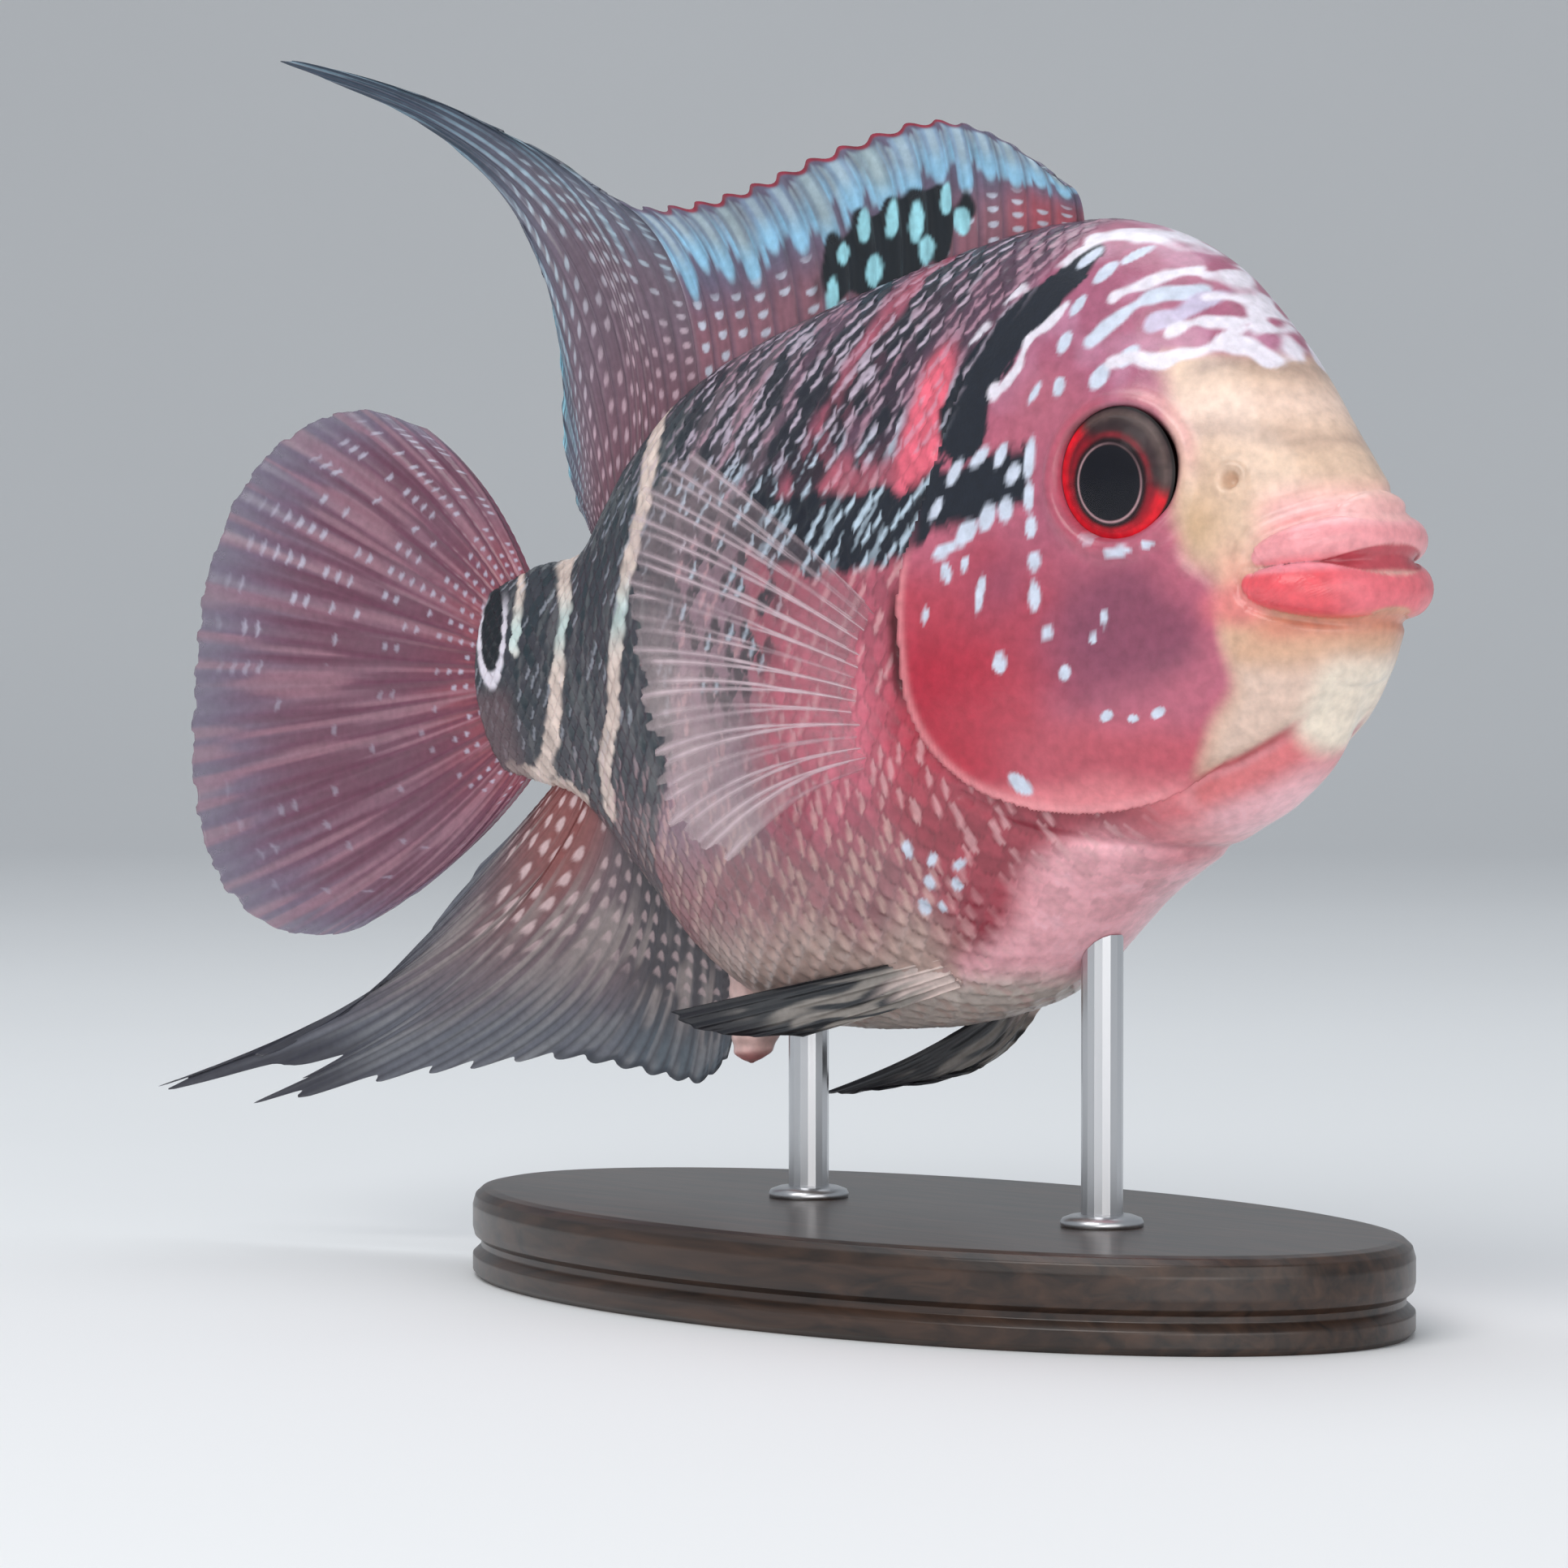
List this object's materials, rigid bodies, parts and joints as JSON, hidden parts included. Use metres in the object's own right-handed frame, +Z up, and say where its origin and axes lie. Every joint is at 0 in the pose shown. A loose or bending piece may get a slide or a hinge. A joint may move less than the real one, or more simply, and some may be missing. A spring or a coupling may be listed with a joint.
{
  "type": "flowerhorn cichlid model",
  "caption": "Life-size still model of a flowerhorn cichlid with nuchal hump and flowing fins, held over a flat oval base by two rods.",
  "frame": {"origin": "on the underside of the stand's base, under the pivot of the fish's pitch, 2 mm ahead of the base's centre", "axes": "+X along the fish towards its snout, +Y to the fish's left, +Z up"},
  "size_m": [0.1653, 0.062, 0.1267],
  "materials": {
    "skin": "wet-looking scaled skin, rose red with black bars and pale blue pearls",
    "fin": "thin rayed membrane, mauve grey with pale pearls",
    "eye": "clear cornea over a red iris and a black pupil",
    "stand_base": "dark satin wood",
    "stand_rod": "brushed"
  },
  "bodies": {
    "root": {"head": "skin", "torso": "skin", "tail": "skin", "vent_papilla": "skin", "dorsal_fin_spiny": "fin", "dorsal_fin_soft": "fin", "anal_fin": "fin", "caudal_fin": "fin", "pectoral_fin_right": "fin", "pectoral_fin_left": "fin", "pelvic_fin_right": "fin", "pelvic_fin_left": "fin", "eye_left": "eye", "eye_right": "eye", "stand_base": "stand_base", "stand_rod_front": "stand_rod", "stand_rod_rear": "stand_rod"}
  },
  "joints": []
}
